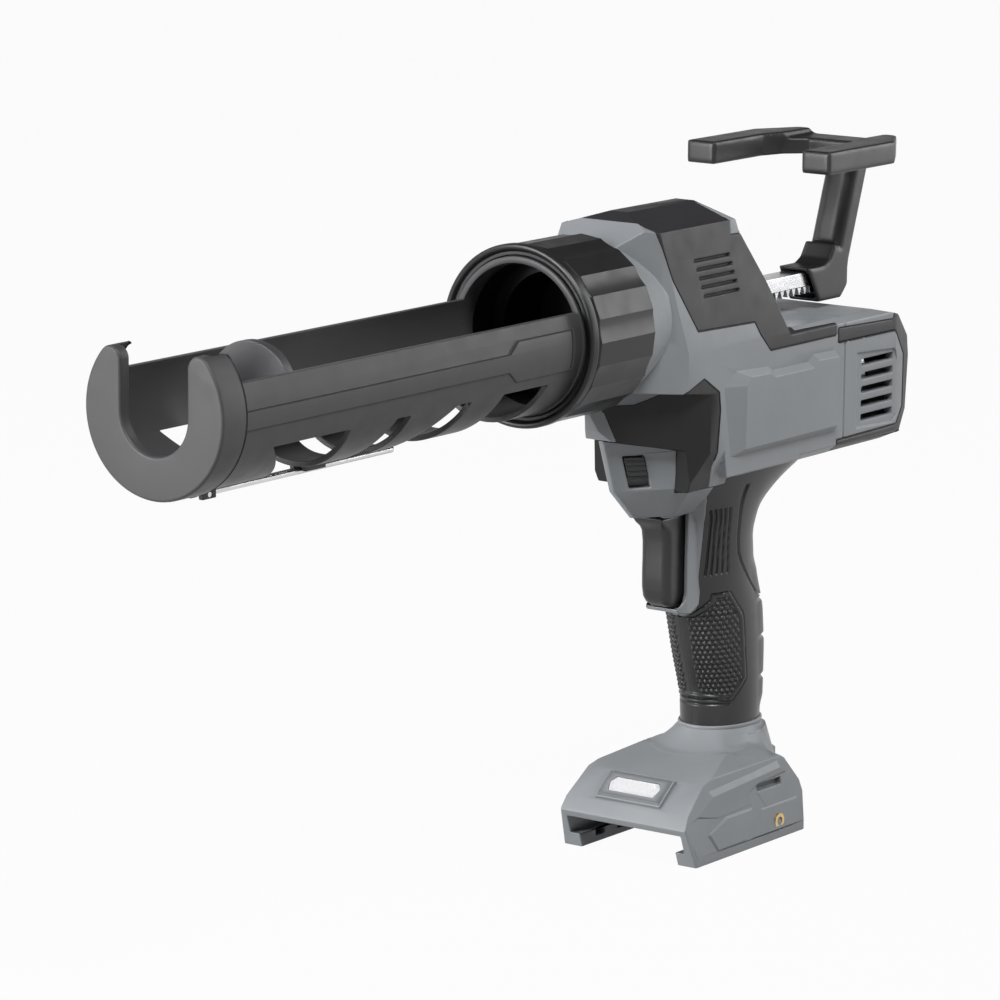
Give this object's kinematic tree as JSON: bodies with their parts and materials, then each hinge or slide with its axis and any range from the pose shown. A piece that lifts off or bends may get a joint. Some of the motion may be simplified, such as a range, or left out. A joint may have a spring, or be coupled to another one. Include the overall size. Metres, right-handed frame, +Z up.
{
  "type": "cordless caulking tool",
  "caption": "Cordless caulking tool with an open cartridge trough, toothed push rod, pull handle, pistol grip with trigger, and a flared foot for a slide-on battery.",
  "frame": {"origin": "on the push rod's axis, in the plane of the lock collar's front face", "axes": "+X towards the nozzle end, +Y to the tool's left, +Z up"},
  "size_m": [0.4304, 0.066, 0.258],
  "materials": {
    "holder_plastic": "fine satin moulding",
    "collar_plastic": "semi-gloss moulding",
    "shell_grey": "fine satin moulding",
    "cover_black": "fine matt texture",
    "grip_rubber": "textured overmould",
    "handle_gloss": "semi-gloss moulding",
    "rack_steel": "bright zinc plate",
    "wire_steel": "drawn wire",
    "piston_metal": "cast and tumbled",
    "gear_steel": "machined",
    "bracket_metal": "die cast",
    "motor_metal": "zinc plate",
    "brass": "turned",
    "lens_clear": "clear polycarbonate",
    "board_resin": "solder mask",
    "inner_black": "moulded",
    "screw_steel": "black oxide"
  },
  "bodies": {
    "housing": {"belt_hook_inserts": "brass", "collar_spigot": "bracket_metal", "control_board": "board_resin", "foot_left": "shell_grey", "foot_right": "shell_grey", "front_guide": "bracket_metal", "gear_bracket": "bracket_metal", "gearbox": "bracket_metal", "grip_left": "grip_rubber", "grip_right": "grip_rubber", "housing_left": "shell_grey", "housing_right": "shell_grey", "housing_screws": "screw_steel", "led_board": "board_resin", "led_lens": "lens_clear", "motor_bearings": "gear_steel", "motor_can": "motor_metal", "pinion_bearings": "gear_steel", "rear_band": "cover_black", "rear_guide": "bracket_metal", "side_panel_left": "cover_black", "side_panel_right": "cover_black", "terminal_blades": "brass", "terminal_block": "inner_black", "top_cover": "cover_black", "trigger_spring": "wire_steel", "trigger_switch": "inner_black"},
    "rod": {"rack_rod": "rack_steel", "piston": "piston_metal", "piston_screw": "rack_steel", "pull_handle": "handle_gloss", "handle_pin": "rack_steel"},
    "pinion": {"drive_pinion": "gear_steel"},
    "rotor": {"motor_rotor": "gear_steel", "cooling_fan": "inner_black"},
    "collar": {"lock_collar": "collar_plastic"},
    "carriage": {"cartridge_holder": "holder_plastic", "front_cap": "holder_plastic", "wire_pin": "wire_steel"},
    "wire": {"puncture_wire": "wire_steel"},
    "trigger_body": {"trigger": "handle_gloss"},
    "slider_body": {"lock_slider": "handle_gloss"}
  },
  "joints": [
    {"name": "rod_slide", "type": "slide", "parent": "housing", "child": "rod", "axis": [1, 0, 0], "range_m": [-0.172, 0.034]},
    {"name": "pinion_turn", "type": "hinge", "parent": "housing", "child": "pinion", "pos_m": [-0.088, 0, -0.01205], "axis": [0, 1, 0], "range_deg": [-1315, 261]},
    {"name": "rotor_spin", "type": "hinge", "parent": "housing", "child": "rotor", "pos_m": [-0.1745, 0, -0.038], "axis": [1, 0, 0], "continuous": true},
    {"name": "collar_turn", "type": "hinge", "parent": "housing", "child": "collar", "pos_m": [-0.02, 0, 0], "axis": [1, 0, 0], "range_deg": [0, 60]},
    {"name": "holder_swivel", "type": "hinge", "parent": "housing", "child": "carriage", "pos_m": [0, 0, 0], "axis": [1, 0, 0], "continuous": true},
    {"name": "wire_swing", "type": "hinge", "parent": "carriage", "child": "wire", "pos_m": [0.175, 0, -0.0297], "axis": [0, -1, 0], "range_deg": [0, 170]},
    {"name": "trigger_pull", "type": "slide", "parent": "housing", "child": "trigger_body", "axis": [-1, 0, 0], "range_m": [0, 0.007], "stiffness_N_per_m": 600, "springref_m": -0.003, "deforming": ["trigger_spring"]},
    {"name": "slider_lock", "type": "slide", "parent": "housing", "child": "slider_body", "axis": [-0.3476, 0, -0.9376], "range_m": [0, 0.004]}
  ],
  "couplings": [
    {"joint": "pinion_turn", "follows": "rod_slide", "rad_per_m": 133.33}
  ]
}
